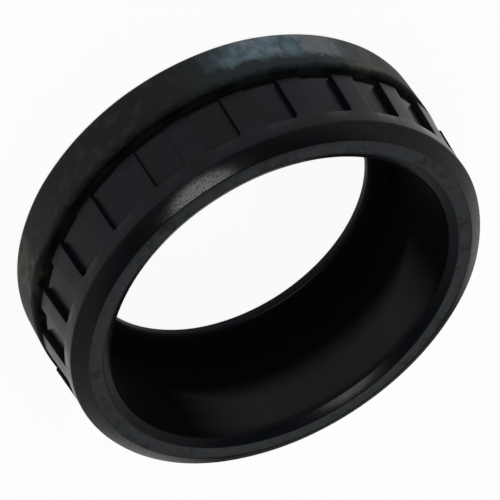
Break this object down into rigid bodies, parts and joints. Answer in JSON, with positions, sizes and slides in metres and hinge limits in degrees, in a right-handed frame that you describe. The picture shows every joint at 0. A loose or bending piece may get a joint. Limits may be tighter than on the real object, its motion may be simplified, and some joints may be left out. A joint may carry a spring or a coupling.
{
  "type": "rubber bushing",
  "caption": "Moulded rubber ring with a plain flange, a groove, a ribbed band and a sloped front lip around a stepped seat that cushions a ball bearing in a housing.",
  "frame": {"origin": "centre of the flat flange face, on the ring axis", "axes": "+Z along the ring axis, from the flat flange face to the front lip; a rib lies on each of +X, -X, +Y and -Y"},
  "size_m": [0.0274, 0.0274, 0.0088],
  "materials": {
    "rubber": "moulded black rubber, satin, with a chalky bloom on the flange"
  },
  "bodies": {
    "root": {"bushing": "rubber"}
  },
  "joints": []
}
